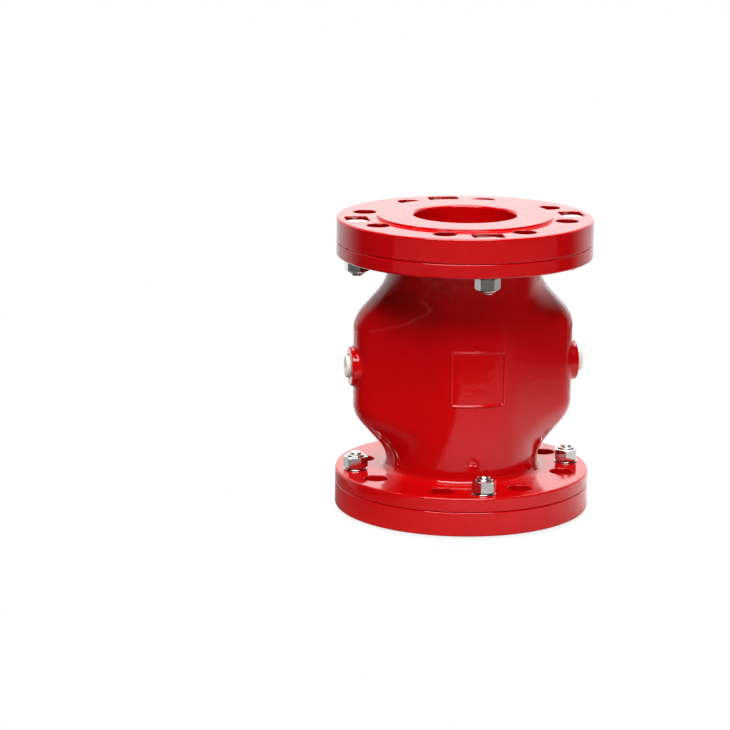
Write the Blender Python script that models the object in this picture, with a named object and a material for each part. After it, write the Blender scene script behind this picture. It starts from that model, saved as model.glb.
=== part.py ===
"""Air-operated pinch valve with pipe flanges for an 80 mm bore.

A cast body holds a rubber sleeve. A flange cover at each end has a conical nose that
wedges the flared end of the sleeve into the body's seat, and four hex bolts with nuts
and washers clamp each cover to the body. Air let in through a side port pinches the sleeve
shut front to back. The body's two side wings make room for the flattened sleeve.

Metres. +Z runs along the pipe axis, the origin is the middle of the lower flange face,
-Y is the front with the label field, and the air ports lie at +X and -X.
"""
import math

import bmesh
import bpy
from mathutils import Matrix, Vector

# Clearance that neighbouring pieces keep
GAP = 0.0003

# Pipe flanges. They come out as EN 1092-1 gives them for nominal size 80, PN 10/16:
# 200 mm across, with a 160 mm bolt circle and a 138 mm raised face
FACE_TO_FACE = 0.234
BORE_DIAMETER = 0.080
BOLT_HOLES = 8
BOLT_HOLE_DIAMETER = 0.018
RIM_BEYOND_PIPE_BOLTS = 0.020
RIM_BEYOND_CLAMPS = 0.015
RAISED_FACE_MARGIN = 0.002
RAISED_FACE_HEIGHT = 0.002
BORE_EDGE = 0.0018
COVER_THICKNESS = 0.019
BODY_FLANGE_THICKNESS = 0.011
FLANGE_EDGE = 0.0012
FLANGE_FILLET = 0.005

# Cover nose, rubber sleeve and its seats in the body
NOSE_LENGTH = 0.010
NOSE_TIP_WALL = 0.003
NOSE_BASE_WALL = 0.0075
SLEEVE_WALL = 0.006
COLLAR_RIM_WALL = 0.008
SEAT_DEPTH = 0.012
LAND_DEPTH = 0.024
COLLAR_DEPTH = 0.026

# Body casting. Its belly with the wings, bosses and label field sits a little low
AIR_ROOM = 0.007
CASTING_WALL = 0.007
WING_DEPTH = 0.0273
WING_TIP_RADIUS = 0.026
BELLY_DROP = 0.0018
SHOULDER_LEVEL = 0.0532
SHOULDER_REACH = 0.0147
SHOULDER_SOFTNESS = 0.31

# Air ports and the plugs that close them
BOSS_DIAMETER = 0.031
BOSS_HEIGHT = 0.0032
BOSS_ROOT = 0.0085
BOSS_EDGE = 0.0012
SPOT_FACE_ROOM = 0.0015
SPOT_FACE_DEPTH = 0.0005
PORT_DIAMETER = 0.0118
PLUG_FLANGE_DIAMETER = 0.017
PLUG_FLANGE_THICKNESS = 0.0034
PLUG_STEM_LENGTH = 0.009
PLUG_EDGE = 0.0006
PLUG_RECESS_DIAMETER = 0.0076
PLUG_RECESS_DEPTH = 0.0024

# Label field on the front, a raised frame round a bare square
LABEL_SIZE = 0.0437
LABEL_BEAD_WIDTH = 0.0016
LABEL_BEAD_HEIGHT = 0.0009
LABEL_BEAD_ROOT = 0.0015

# Clamp bolts, nuts and washers
CLAMP_PLACES = {"right": 0.0, "back": 90.0, "left": 180.0, "front": 270.0}
SPANNER_ROOM = 0.010
THREAD_DIAMETER = 0.010
SHANK_ROOM = 0.0005
BOLT_BEYOND_NUT = 0.0031
BOLT_POINT = 0.0010
HEX_FLATS = 0.017
HEX_CHAMFER = 0.0007
HEAD_HEIGHT = 0.0064
NUT_HEIGHT = 0.0080
NUT_TURNS = {
    "top": {"right": 20.0, "back": 41.0, "left": 5.0, "front": -12.0},
    "bottom": {"right": -14.0, "back": 33.0, "left": 18.0, "front": 6.0},
}
WASHER_DIAMETER = 0.020
WASHER_THICKNESS = 0.0020
POCKET_LENGTH = 0.024
POCKET_DEPTH = 0.0093
POCKET_CLEARANCE = 0.0003
POCKET_CORNER = 0.0040

# Fineness of the round forms
BODY_SIDES = 44
HOLE_SIDES = 16
SMALL_SIDES = 12
SHOULDER_STEPS = 8
FILLET_STEPS = 3
OVERCUT = 0.001

# Places worked out from the sizes above
MIDDLE = FACE_TO_FACE / 2
BORE_RADIUS = BORE_DIAMETER / 2
SLEEVE_RADIUS = BORE_RADIUS + SLEEVE_WALL
CHAMBER_RADIUS = SLEEVE_RADIUS + AIR_ROOM
NECK_RADIUS = CHAMBER_RADIUS + CASTING_WALL
CLAMP_RADIUS = NECK_RADIUS + FLANGE_FILLET + SPANNER_ROOM + WASHER_DIAMETER / 2
FLANGE_RADIUS = CLAMP_RADIUS + RIM_BEYOND_CLAMPS
PIPE_BOLT_RADIUS = FLANGE_RADIUS - RIM_BEYOND_PIPE_BOLTS
RAISED_FACE_RADIUS = PIPE_BOLT_RADIUS - BOLT_HOLE_DIAMETER / 2 - RAISED_FACE_MARGIN
COVER_SEAT = FACE_TO_FACE - RAISED_FACE_HEIGHT - COVER_THICKNESS
BODY_END = COVER_SEAT - GAP
BODY_HALF = BODY_END - MIDDLE
FLANGE_BACK = BODY_HALF - BODY_FLANGE_THICKNESS
NOSE_TIP_RADIUS = BORE_RADIUS + NOSE_TIP_WALL
NOSE_BASE_RADIUS = BORE_RADIUS + NOSE_BASE_WALL
LAND_RADIUS = SLEEVE_RADIUS + GAP
SEAT_MOUTH_RADIUS = NOSE_BASE_RADIUS + COLLAR_RIM_WALL + 2 * GAP
SEAT_FOOT_RADIUS = NOSE_TIP_RADIUS + SLEEVE_WALL + 2 * GAP
WING_REACH = NECK_RADIUS + WING_DEPTH
WING_CENTRE = WING_REACH - WING_TIP_RADIUS
WING_TANGENT = math.acos((NECK_RADIUS - WING_TIP_RADIUS) / WING_CENTRE)
COLLAR_END = BODY_HALF - COLLAR_DEPTH
PORT_RADIUS = PORT_DIAMETER / 2
BOSS_FACE = WING_REACH + BOSS_HEIGHT
SPOT_FACE_RADIUS = PLUG_FLANGE_DIAMETER / 2 + SPOT_FACE_ROOM
SPOT_FACE = BOSS_FACE - SPOT_FACE_DEPTH
CLAMP_HOLE_RADIUS = THREAD_DIAMETER / 2 + SHANK_ROOM
POCKET_FLOOR = COVER_THICKNESS - POCKET_DEPTH
HEAD_SEAT = COVER_SEAT - MIDDLE + POCKET_FLOOR + GAP
WASHER_SEAT = FLANGE_BACK - GAP
NUT_SEAT = WASHER_SEAT - WASHER_THICKNESS - GAP
BOLT_LENGTH = HEAD_SEAT - NUT_SEAT + NUT_HEIGHT + BOLT_BEYOND_NUT


def linear_colour(code):
    """Turn an sRGB hex code into the linear RGBA that a shader takes."""
    channels = [int(code[i:i + 2], 16) / 255 for i in (0, 2, 4)]
    linear = [c / 12.92 if c <= 0.04045 else ((c + 0.055) / 1.055) ** 2.4 for c in channels]
    return (*linear, 1.0)


def make_material(name, colour, roughness, metallic):
    """One Principled material of a single colour."""
    material = bpy.data.materials.new(name)
    material.use_nodes = True
    shader = material.node_tree.nodes["Principled BSDF"]
    shader.inputs["Base Color"].default_value = linear_colour(colour)
    shader.inputs["Roughness"].default_value = roughness
    shader.inputs["Metallic"].default_value = metallic
    material.diffuse_color = linear_colour(colour)
    return material


def polar(radius, angle, height=0.0):
    """The point at a radius and an angle about Z."""
    return Vector((radius * math.cos(angle), radius * math.sin(angle), height))


def mesh_from(bm, name):
    """Close a bmesh into a mesh with its faces pointing out and its edges sharp where they turn."""
    bmesh.ops.recalc_face_normals(bm, faces=bm.faces)
    mesh = bpy.data.meshes.new(name)
    bm.to_mesh(mesh)
    bm.free()
    mesh.shade_smooth()
    mesh.set_sharp_from_angle(angle=math.radians(35))
    return mesh


def add_object(name, mesh, material=None):
    """Put a mesh in the scene as an object of that name."""
    obj = bpy.data.objects.new(name, mesh)
    bpy.context.scene.collection.objects.link(obj)
    if material:
        mesh.materials.clear()
        mesh.materials.append(material)
    return obj


def turned(profile, sides, sweep=2 * math.pi, start=0.0, ring=True):
    """Spin a profile of (radius, height) points about Z.

    With ring, the profile is a closed outline that stays off the axis. Without it, the
    profile is an open line and each end is closed by a flat disc. A sweep of less than a
    full turn gets a flat face at both ends.
    """
    bm = bmesh.new()
    verts = [bm.verts.new(polar(radius, start, height)) for radius, height in profile]
    edges = [bm.edges.new(pair) for pair in zip(verts, verts[1:])]
    if ring:
        edges.append(bm.edges.new((verts[-1], verts[0])))
    full = sweep >= 2 * math.pi
    bmesh.ops.spin(bm, geom=verts + edges, cent=(0, 0, 0), axis=(0, 0, 1), angle=sweep,
                   steps=sides, use_merge=full)
    if not full or not ring:
        bmesh.ops.holes_fill(bm, edges=[e for e in bm.edges if e.is_boundary], sides=0)
    return bm


def prism(outline, low, high):
    """Extrude an outline of (x, y) points from one height to another."""
    bm = bmesh.new()
    face = bm.faces.new([bm.verts.new((x, y, low)) for x, y in outline])
    lift = bmesh.ops.extrude_face_region(bm, geom=[face])
    lifted = [v for v in lift["geom"] if isinstance(v, bmesh.types.BMVert)]
    bmesh.ops.translate(bm, verts=lifted, vec=(0, 0, high - low))
    return bm


def rounded_rectangle(length_x, length_y, corner, steps=4):
    """The outline of a rectangle with quarter-round corners, centred on the origin."""
    centres = [(1, 1), (-1, 1), (-1, -1), (1, -1)]
    outline = []
    for quarter, (sign_x, sign_y) in enumerate(centres):
        for step in range(steps + 1):
            angle = math.pi / 2 * (quarter + step / steps)
            outline.append((sign_x * (length_x / 2 - corner) + corner * math.cos(angle),
                            sign_y * (length_y / 2 - corner) + corner * math.sin(angle)))
    return outline


def moved(bm, matrix):
    """Carry a whole bmesh to another place."""
    bmesh.ops.transform(bm, matrix=matrix, verts=bm.verts)
    return bm


def joined(parts):
    """Gather several separate closed forms in one bmesh."""
    whole = bmesh.new()
    for part in parts:
        mesh = mesh_from(part, "part")
        whole.from_mesh(mesh)
        bpy.data.meshes.remove(mesh)
    return whole


def combine(base, steps):
    """Carry out Booleans on a mesh, in order, and give back the finished mesh.

    Each step is an operation and the bmesh that it works with.
    """
    work = add_object("work", base)
    tools = []
    for operation, bm in steps:
        tool = add_object("tool", mesh_from(bm, "tool"))
        modifier = work.modifiers.new(operation.lower(), "BOOLEAN")
        modifier.operation = operation
        modifier.solver = "EXACT"
        modifier.object = tool
        tools.append(tool)
    finished = bpy.data.meshes.new_from_object(
        work.evaluated_get(bpy.context.evaluated_depsgraph_get()))
    for obj in [work, *tools]:
        mesh = obj.data
        bpy.data.objects.remove(obj)
        bpy.data.meshes.remove(mesh)
    finished.shade_smooth()
    finished.set_sharp_from_angle(angle=math.radians(35))
    return finished


def round_hole(radius, low, high, sides):
    """A plain round cutter standing on Z, its corners off the planes that other forms' corners lie on."""
    return turned([(radius, low), (radius, high)], sides, start=math.pi / sides, ring=False)


def circle_of(make, radius, angles):
    """Copies of one form on a circle, each turned to face outwards."""
    return [moved(make(), Matrix.Translation(polar(radius, angle)) @ Matrix.Rotation(angle, 4, "Z"))
            for angle in angles]


def pipe_bolt_angles():
    """The pipe bolts straddle the axes, half a division away from them."""
    division = 2 * math.pi / BOLT_HOLES
    return [division * (index + 0.5) for index in range(BOLT_HOLES)]


def clamp_angles():
    """The clamp bolts lie on the axes."""
    return [math.radians(angle) for angle in CLAMP_PLACES.values()]


def soft_step(value, softness):
    """Rise from 0 to 1 as the value does, with rounded feet instead of corners."""
    upper = max(softness - abs(value - 1), 0) / softness
    value = min(value, 1) - upper * upper * softness / 4
    lower = max(softness - abs(value), 0) / softness
    return max(value, 0) + lower * lower * softness / 4


def wing_depth(angle):
    """How far the oval middle of the body stands outside the neck, seen from above.

    The oval is the neck's circle and two smaller circles at its sides, wrapped by
    straight tangents. The angle runs from the side, so 0 is the tip of a wing.
    """
    touch = Vector((WING_CENTRE + WING_TIP_RADIUS * math.cos(WING_TANGENT),
                    WING_TIP_RADIUS * math.sin(WING_TANGENT)))
    if angle >= WING_TANGENT:
        return 0.0
    if angle > math.atan2(touch.y, touch.x):
        return NECK_RADIUS / math.cos(WING_TANGENT - angle) - NECK_RADIUS
    across = WING_CENTRE * math.sin(angle)
    along = WING_CENTRE * math.cos(angle)
    return along + math.sqrt(WING_TIP_RADIUS ** 2 - across ** 2) - NECK_RADIUS


def swell(angle, height):
    """How far the casting stands outside its neck, at an angle about Z and a height.

    Each wing falls back to the neck over a shoulder above and below the belly's own
    middle. The shoulder is tallest at the wing's tip and narrows to a point where the
    wing leaves the neck.
    """
    from_side = math.acos(min(abs(math.cos(angle)), 1.0))
    depth = wing_depth(from_side)
    if depth == 0.0:
        return 0.0
    reach = SHOULDER_REACH * max(1 - (from_side / WING_TANGENT) ** 2, 0.08)
    rise = (SHOULDER_LEVEL - abs(height + BELLY_DROP)) / (2 * reach) + 0.5
    return depth * soft_step(rise, SHOULDER_SOFTNESS)


def shoulder_heights(shift):
    """Distances from the middle at which a swollen wall gets a ring of points.

    The shift moves them towards the flange, as the lower shoulder is, or back from it.
    """
    low = SHOULDER_LEVEL - SHOULDER_REACH * (1 + 2 * SHOULDER_SOFTNESS) + shift
    high = SHOULDER_LEVEL + SHOULDER_REACH * (1 + 2 * SHOULDER_SOFTNESS) + shift
    step = (high - low) / (SHOULDER_STEPS - 1)
    return [low + step * index for index in range(SHOULDER_STEPS)]


def both_halves(half_profile):
    """Join the lower half of a form, turned over, with its upper half.

    Each half is a profile that runs from near the middle to the body's end.
    """
    lower = half_profile(BELLY_DROP)
    return [(radius, -height) for radius, height in reversed(lower)] + half_profile(-BELLY_DROP)


def swollen(bm, wall_radius):
    """Push the wall that a turned form has at one radius outwards into the wings."""
    for vert in bm.verts:
        radius = math.hypot(vert.co.x, vert.co.y)
        if abs(radius - wall_radius) < OVERCUT / 100:
            angle = math.atan2(vert.co.y, vert.co.x)
            vert.co = polar(radius + swell(angle, vert.co.z), angle, vert.co.z)
    return bm


def outside_half(shift):
    """The outside's profile from its shoulder to the body's end: neck, fillet and flange."""
    fillet_radius = NECK_RADIUS + FLANGE_FILLET
    fillet_height = FLANGE_BACK - FLANGE_FILLET
    profile = [(NECK_RADIUS, height) for height in shoulder_heights(shift)]
    for step in range(FILLET_STEPS + 1):
        angle = math.pi / 2 * step / FILLET_STEPS
        profile.append((fillet_radius - FLANGE_FILLET * math.cos(angle),
                        fillet_height + FLANGE_FILLET * math.sin(angle)))
    profile.append((FLANGE_RADIUS - FLANGE_EDGE, FLANGE_BACK))
    profile.append((FLANGE_RADIUS, FLANGE_BACK + FLANGE_EDGE))
    profile.append((FLANGE_RADIUS, BODY_HALF - FLANGE_EDGE))
    profile.append((FLANGE_RADIUS - FLANGE_EDGE, BODY_HALF))
    return profile


def core_half(shift):
    """The core's profile from its shoulder to the body's end: air chamber, land and conical seat."""
    seat_slope = (SEAT_MOUTH_RADIUS - SEAT_FOOT_RADIUS) / SEAT_DEPTH
    chamber_end = BODY_HALF - LAND_DEPTH - (CHAMBER_RADIUS - LAND_RADIUS)
    heights = [height for height in shoulder_heights(shift) if height < chamber_end - OVERCUT]
    profile = [(CHAMBER_RADIUS, height) for height in [*heights, chamber_end]]
    profile.append((LAND_RADIUS, BODY_HALF - LAND_DEPTH))
    profile.append((LAND_RADIUS, BODY_HALF - SEAT_DEPTH - (SEAT_FOOT_RADIUS - LAND_RADIUS)))
    profile.append((SEAT_FOOT_RADIUS, BODY_HALF - SEAT_DEPTH))
    profile.append((SEAT_MOUTH_RADIUS + seat_slope * OVERCUT, BODY_HALF + OVERCUT))
    return profile


def body_outside():
    """The casting's outside without its bosses: two flanges on a winged neck."""
    return swollen(turned(both_halves(outside_half), BODY_SIDES, ring=False), NECK_RADIUS)


def body_core():
    """The hollow of the casting, whose belly and ends follow the outside."""
    return swollen(turned(both_halves(core_half), BODY_SIDES, ring=False), CHAMBER_RADIUS)


def air_boss():
    """A round boss standing on Z, its face at the height of the boss face."""
    radius = BOSS_DIAMETER / 2
    root = WING_REACH - BOSS_ROOT
    profile = [(radius, root), (radius, BOSS_FACE - BOSS_EDGE), (radius - BOSS_EDGE, BOSS_FACE)]
    return turned(profile, 2 * SMALL_SIDES, start=math.pi / (2 * SMALL_SIDES), ring=False)


def air_port():
    """The cutter of a port standing on Z: a hole to the chamber and the spot face for its plug."""
    profile = [(PORT_RADIUS, CHAMBER_RADIUS - OVERCUT), (PORT_RADIUS, SPOT_FACE),
               (SPOT_FACE_RADIUS, SPOT_FACE), (SPOT_FACE_RADIUS, BOSS_FACE + OVERCUT)]
    return turned(profile, HOLE_SIDES, start=math.pi / HOLE_SIDES, ring=False)


def label_frame():
    """The raised bead round the label field, wrapped on the neck and centred on -Y."""
    outer = LABEL_SIZE / 2
    inner = outer - LABEL_BEAD_WIDTH
    steps = 5
    bm = bmesh.new()
    loops = []
    for half, radius in ((outer, NECK_RADIUS - LABEL_BEAD_ROOT), (outer, NECK_RADIUS + LABEL_BEAD_HEIGHT),
                         (inner, NECK_RADIUS + LABEL_BEAD_HEIGHT), (inner, NECK_RADIUS - LABEL_BEAD_ROOT)):
        across = [half * (2 * step / steps - 1) for step in range(steps + 1)]
        path = [(x, -half) for x in across] + [(x, half) for x in reversed(across)]
        loops.append([bm.verts.new(polar(radius, x / NECK_RADIUS - math.pi / 2, z)) for x, z in path])
    for loop, following in zip(loops, loops[1:] + loops[:1]):
        for index in range(len(loop)):
            after = (index + 1) % len(loop)
            bm.faces.new((loop[index], loop[after], following[after], following[index]))
    return bm


def toward_side(sign):
    """Turns a form that stands on +Z to point along +X or -X, at the belly's own middle."""
    return Matrix.Translation((0, 0, -BELLY_DROP)) @ Matrix.Rotation(sign * math.pi / 2, 4, "Y")


def valve_body():
    """The casting: outside, bosses and label frame, less the core and every hole."""
    sides = (1, -1)
    bosses = joined([moved(air_boss(), toward_side(sign)) for sign in sides])
    ports = [moved(air_port(), toward_side(sign)) for sign in sides]
    label = moved(label_frame(), Matrix.Translation((0, 0, -BELLY_DROP)))
    low = FLANGE_BACK - OVERCUT
    high = BODY_HALF + OVERCUT
    holes = []
    for bottom, top in ((low, high), (-high, -low)):
        holes += circle_of(lambda: round_hole(BOLT_HOLE_DIAMETER / 2, bottom, top, HOLE_SIDES),
                           PIPE_BOLT_RADIUS, pipe_bolt_angles())
        holes += circle_of(lambda: round_hole(CLAMP_HOLE_RADIUS, bottom, top, SMALL_SIDES),
                           CLAMP_RADIUS, clamp_angles())
    return combine(mesh_from(body_outside(), "valve_body"),
                   [("UNION", bosses), ("UNION", label), ("DIFFERENCE", body_core()),
                    ("DIFFERENCE", joined(ports)), ("DIFFERENCE", joined(holes))])


def flange_cover():
    """A pipe flange with a raised face, a clamping nose below it and sunk bolt pockets.

    Its joint plane is at height 0 and its pipe face is up.
    """
    face = COVER_THICKNESS + RAISED_FACE_HEIGHT
    profile = [
        (BORE_RADIUS, -NOSE_LENGTH),
        (NOSE_TIP_RADIUS, -NOSE_LENGTH),
        (NOSE_BASE_RADIUS, 0),
        (FLANGE_RADIUS - FLANGE_EDGE, 0),
        (FLANGE_RADIUS, FLANGE_EDGE),
        (FLANGE_RADIUS, COVER_THICKNESS - FLANGE_EDGE),
        (FLANGE_RADIUS - FLANGE_EDGE, COVER_THICKNESS),
        (RAISED_FACE_RADIUS, COVER_THICKNESS),
        (RAISED_FACE_RADIUS, face),
        (BORE_RADIUS + BORE_EDGE, face),
        (BORE_RADIUS, face - BORE_EDGE),
    ]
    pocket_outline = rounded_rectangle(HEX_FLATS + 2 * POCKET_CLEARANCE, POCKET_LENGTH, POCKET_CORNER)
    bottom = -OVERCUT
    top = COVER_THICKNESS + OVERCUT
    pockets = circle_of(lambda: prism(pocket_outline, POCKET_FLOOR, top), CLAMP_RADIUS, clamp_angles())
    clamps = circle_of(lambda: round_hole(CLAMP_HOLE_RADIUS, bottom, top, SMALL_SIDES),
                       CLAMP_RADIUS, clamp_angles())
    pipe_bolts = circle_of(lambda: round_hole(BOLT_HOLE_DIAMETER / 2, bottom, top, HOLE_SIDES),
                           PIPE_BOLT_RADIUS, pipe_bolt_angles())
    return combine(mesh_from(turned(profile, BODY_SIDES), "flange_cover"),
                   [("DIFFERENCE", joined(pockets)), ("DIFFERENCE", joined(clamps + pipe_bolts))])


def sleeve_collar():
    """The flared end of the sleeve, which wraps the nose. The body's end is at height 0."""
    nose_level = -NOSE_LENGTH
    profile = [
        (BORE_RADIUS, -COLLAR_DEPTH),
        (SLEEVE_RADIUS, -COLLAR_DEPTH),
        (SLEEVE_RADIUS, -SEAT_DEPTH - (SEAT_FOOT_RADIUS - LAND_RADIUS)),
        (SEAT_FOOT_RADIUS - GAP, -SEAT_DEPTH),
        (SEAT_MOUTH_RADIUS - GAP, 0),
        (NOSE_BASE_RADIUS + GAP, 0),
        (NOSE_TIP_RADIUS + GAP, nose_level),
        (BORE_RADIUS, nose_level),
    ]
    return mesh_from(turned(profile, BODY_SIDES), "sleeve_collar")


def sleeve_wall():
    """The front half of the sleeve between its collars, centred on height 0."""
    half = COLLAR_END - GAP
    split = GAP / 2 / BORE_RADIUS
    profile = [(BORE_RADIUS, -half), (SLEEVE_RADIUS, -half), (SLEEVE_RADIUS, half), (BORE_RADIUS, half)]
    return mesh_from(turned(profile, BODY_SIDES // 2, math.pi - 2 * split, math.pi + split), "sleeve_wall")


def hexagon(height):
    """A hexagonal bar standing on Z, with two of its flats facing along X."""
    corner = HEX_FLATS / 2 / math.cos(math.pi / 6)
    outline = [tuple(polar(corner, math.pi / 3 * (index + 0.5)).xy) for index in range(6)]
    return prism(outline, 0, height)


def corner_trim(height, low_end):
    """The turned form that a hexagon is cut to, which takes its corners off.

    A shallow cone trims the far end, and the near end too if low_end says so.
    """
    slope = math.tan(math.radians(30))
    outer = HEX_FLATS / 2 / math.cos(math.pi / 6) + OVERCUT
    flat = HEX_FLATS / 2 - HEX_CHAMFER / 2
    rise = (outer - flat) * slope
    beyond = flat - OVERCUT / slope
    near = [(beyond, -OVERCUT), (outer, rise)] if low_end else [(outer, -OVERCUT)]
    return turned([*near, (outer, height - rise), (beyond, height + OVERCUT)], SMALL_SIDES, ring=False)


def hex_bolt():
    """A hex bolt with its head above height 0 and its shank below."""
    radius = THREAD_DIAMETER / 2
    shank = [(radius - BOLT_POINT, -BOLT_LENGTH), (radius, BOLT_POINT - BOLT_LENGTH), (radius, HEAD_HEIGHT / 2)]
    return combine(mesh_from(hexagon(HEAD_HEIGHT), "hex_bolt"),
                   [("INTERSECT", corner_trim(HEAD_HEIGHT, False)),
                    ("UNION", turned(shank, HOLE_SIDES, ring=False))])


def hex_nut():
    """A hex nut whose bearing face is at height 0."""
    thread = round_hole(THREAD_DIAMETER / 2 + GAP, -OVERCUT, NUT_HEIGHT + OVERCUT, HOLE_SIDES)
    return combine(mesh_from(hexagon(NUT_HEIGHT), "hex_nut"),
                   [("INTERSECT", corner_trim(NUT_HEIGHT, True)), ("DIFFERENCE", thread)])


def washer():
    """A flat washer lying on height 0."""
    inner = THREAD_DIAMETER / 2 + GAP
    outer = WASHER_DIAMETER / 2
    profile = [(inner, 0), (outer, 0), (outer, WASHER_THICKNESS), (inner, WASHER_THICKNESS)]
    return mesh_from(turned(profile, HOLE_SIDES), "washer")


def port_plug():
    """A push-in plug. Its flange stands on height 0 and its stem reaches below."""
    stem = PORT_RADIUS - GAP
    flange = PLUG_FLANGE_DIAMETER / 2
    recess = PLUG_RECESS_DIAMETER / 2
    profile = [
        (stem - PLUG_EDGE, -PLUG_STEM_LENGTH),
        (stem, PLUG_EDGE - PLUG_STEM_LENGTH),
        (stem, 0),
        (flange, 0),
        (flange, PLUG_FLANGE_THICKNESS - PLUG_EDGE),
        (flange - PLUG_EDGE, PLUG_FLANGE_THICKNESS),
        (recess, PLUG_FLANGE_THICKNESS),
        (recess, PLUG_FLANGE_THICKNESS - PLUG_RECESS_DEPTH),
    ]
    return mesh_from(turned(profile, HOLE_SIDES, ring=False), "port_plug")


def place(name, mesh, material, location, rotation=(0.0, 0.0, 0.0)):
    """Add an object at a place, turned by XYZ angles."""
    obj = add_object(name, mesh, material)
    obj.location = location
    obj.rotation_euler = rotation
    return obj


def add_fasteners(steel):
    """Four bolts through each cover, with a washer and a nut behind the body flange on each."""
    bolt = hex_bolt()
    nut = hex_nut()
    ring = washer()
    for end, sign, over in (("top", 1, 0.0), ("bottom", -1, math.pi)):
        for side, degrees in CLAMP_PLACES.items():
            angle = math.radians(degrees)
            turn = angle + math.radians(NUT_TURNS[end][side])
            place(f"{end}_bolt_{side}", bolt, steel,
                  polar(CLAMP_RADIUS, angle, MIDDLE + sign * HEAD_SEAT), (over, 0.0, angle))
            place(f"{end}_washer_{side}", ring, steel,
                  polar(CLAMP_RADIUS, angle, MIDDLE + sign * WASHER_SEAT), (math.pi - over, 0.0, angle))
            place(f"{end}_nut_{side}", nut, steel,
                  polar(CLAMP_RADIUS, angle, MIDDLE + sign * NUT_SEAT), (math.pi - over, 0.0, turn))


def build():
    """Clear the scene and make every piece of the valve."""
    for obj in list(bpy.data.objects):
        bpy.data.objects.remove(obj)
    body_paint = make_material("body_paint", "C3101C", 0.18, 0.0)
    cover_paint = make_material("cover_paint", "C8121E", 0.18, 0.0)
    rubber = make_material("sleeve_rubber", "1B1B1D", 0.55, 0.0)
    steel = make_material("bright_steel", "C9C7C3", 0.25, 1.0)
    cap_plastic = make_material("cap_plastic", "F0E3CB", 0.45, 0.0)

    place("valve_body", valve_body(), body_paint, (0, 0, MIDDLE))
    cover = flange_cover()
    collar = sleeve_collar()
    for end, sign, over in (("top", 1, 0.0), ("bottom", -1, math.pi)):
        place(f"{end}_flange_cover", cover, cover_paint,
              (0, 0, MIDDLE + sign * (COVER_SEAT - MIDDLE)), (over, 0, 0))
        place(f"sleeve_{end}_collar", collar, rubber, (0, 0, MIDDLE + sign * BODY_HALF), (over, 0, 0))
    wall = sleeve_wall()
    place("sleeve_front_wall", wall, rubber, (0, 0, MIDDLE))
    place("sleeve_rear_wall", wall, rubber, (0, 0, MIDDLE), (0, 0, math.pi))
    add_fasteners(steel)
    plug = port_plug()
    for side, sign in (("right", 1), ("left", -1)):
        place(f"{side}_port_plug", plug, cap_plastic,
              (sign * (SPOT_FACE + GAP), 0, MIDDLE - BELLY_DROP), (0, sign * math.pi / 2, 0))


build()
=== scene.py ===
"""Finish of the flanged pinch valve: fine surfaces, paint, steel, rubber and studio light."""
import math

import bmesh
import bpy
import numpy as np
from mathutils import Matrix, Vector


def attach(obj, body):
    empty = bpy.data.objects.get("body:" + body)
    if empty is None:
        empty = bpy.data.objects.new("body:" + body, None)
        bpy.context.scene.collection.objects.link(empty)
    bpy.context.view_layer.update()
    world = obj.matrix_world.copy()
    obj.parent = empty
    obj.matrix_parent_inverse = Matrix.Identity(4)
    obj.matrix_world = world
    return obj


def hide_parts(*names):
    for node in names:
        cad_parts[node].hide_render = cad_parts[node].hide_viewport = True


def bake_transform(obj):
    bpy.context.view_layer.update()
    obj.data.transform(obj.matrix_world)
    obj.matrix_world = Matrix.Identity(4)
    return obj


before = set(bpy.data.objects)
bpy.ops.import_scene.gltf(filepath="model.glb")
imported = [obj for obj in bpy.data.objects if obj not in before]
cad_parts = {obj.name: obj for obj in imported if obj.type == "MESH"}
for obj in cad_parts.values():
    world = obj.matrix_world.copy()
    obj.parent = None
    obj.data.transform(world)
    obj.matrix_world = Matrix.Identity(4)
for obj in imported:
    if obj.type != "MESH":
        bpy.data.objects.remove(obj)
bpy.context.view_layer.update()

# Running clearance between neighbouring pieces, in metres as every size here
GAP = 0.0003

# Pipe flanges and covers
FACE_TO_FACE = 0.234
FLANGE_RADIUS = 0.100
PIPE_BOLT_RADIUS = 0.080
PIPE_BOLTS = 8
PIPE_HOLE_RADIUS = 0.009
RAISED_FACE_RADIUS = 0.069
RAISED_FACE_HEIGHT = 0.002
BORE_RADIUS = 0.040
COVER_THICKNESS = 0.019
BODY_FLANGE_THICKNESS = 0.011
RIM_ROUND = 0.0016
FACE_ROUND = 0.0009
BORE_ROUND = 0.0022
LIP_ROUND = 0.0008

# Cover nose, sleeve and their seats
NOSE_LENGTH = 0.010
NOSE_TIP_RADIUS = 0.043
NOSE_BASE_RADIUS = 0.0475
SLEEVE_RADIUS = 0.046
SEAT_MOUTH_RADIUS = 0.0561
SEAT_FOOT_RADIUS = 0.0496
SEAT_DEPTH = 0.012
LAND_DEPTH = 0.024
COLLAR_DEPTH = 0.026

# Casting. The belly, its bosses and the label field sit a little below the middle
NECK_RADIUS = 0.060
CASTING_WALL = 0.007
WING_REACH = 0.0873
WING_TIP_RADIUS = 0.026
BELLY_DROP = 0.0018
SHOULDER_LEVEL = 0.0532
SHOULDER_REACH = 0.0147
SHOULDER_SOFTNESS = 0.31
NECK_FILLET = 0.005
PLATE_INNER = 0.068

# Air bosses, their ports and plugs
BOSS_RADIUS = 0.0155
BOSS_FACE = 0.0905
BOSS_FILLET = 0.0018
BOSS_ROUND = 0.0012
SPOT_FACE_RADIUS = 0.010
SPOT_FACE_DEPTH = 0.0005
BOSS_ROOM = 0.009
PORT_RADIUS = 0.0059
PLUG_FLANGE_RADIUS = 0.0085
PLUG_HEADS = {"right": 0.0050, "left": 0.0034}
PLUG_STEM_LENGTH = 0.009
PLUG_RECESS_RADIUS = 0.0038
PLUG_RECESS_DEPTH = 0.0024

# Label field
LABEL_HALF = 0.02105
LABEL_CORNER = 0.0022
BEAD_HALF_WIDTH = 0.0014
BEAD_HEIGHT = 0.0009
BEAD_ROOT = 0.0004

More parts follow.
